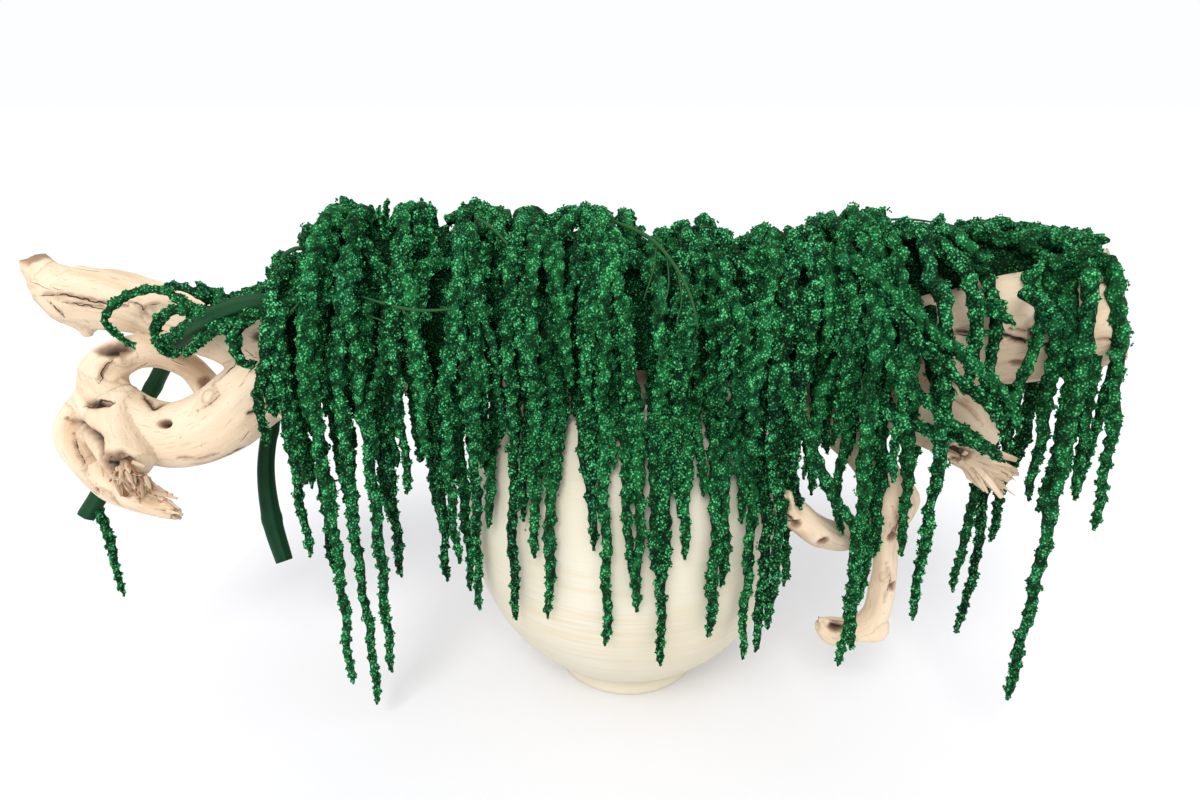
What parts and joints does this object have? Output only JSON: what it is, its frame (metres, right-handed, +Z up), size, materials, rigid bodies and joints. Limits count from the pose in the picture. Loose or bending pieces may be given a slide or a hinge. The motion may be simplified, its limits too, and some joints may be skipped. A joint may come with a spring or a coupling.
{
  "type": "preserved amaranthus on grapewood in vase",
  "caption": "Round cream stoneware vase with a length of pale grapewood across its mouth, draped with trailing green amaranthus.",
  "frame": {"origin": "centre of the vase's foot, on the surface that it stands on", "axes": "+Z up, +X along the wood towards its sawn end, -Y to the front that the longest tassels hang on"},
  "size_m": [0.9422, 0.3753, 0.481],
  "materials": {
    "stoneware": "dry cream slip over stoneware, fine throwing lines",
    "grapewood": "sandblasted bare vine wood, pale tan with brown cracks",
    "amaranth": "dyed preserved florets, matt emerald green",
    "stem": "dyed ribbed stem, dark green, slight waxy sheen"
  },
  "bodies": {
    "root": {"vase": "stoneware", "grapewood": "grapewood", "spray_1": "amaranth", "spray_2": "amaranth", "spray_3": "amaranth", "spray_4": "amaranth", "spray_5": "amaranth", "spray_6": "amaranth", "spray_7": "amaranth", "spray_8": "amaranth", "spray_9": "amaranth", "stem_left": "stem", "stem_back_long": "stem", "stem_back_short": "stem", "curl_prong": "amaranth", "curl_stem": "amaranth"}
  },
  "joints": []
}
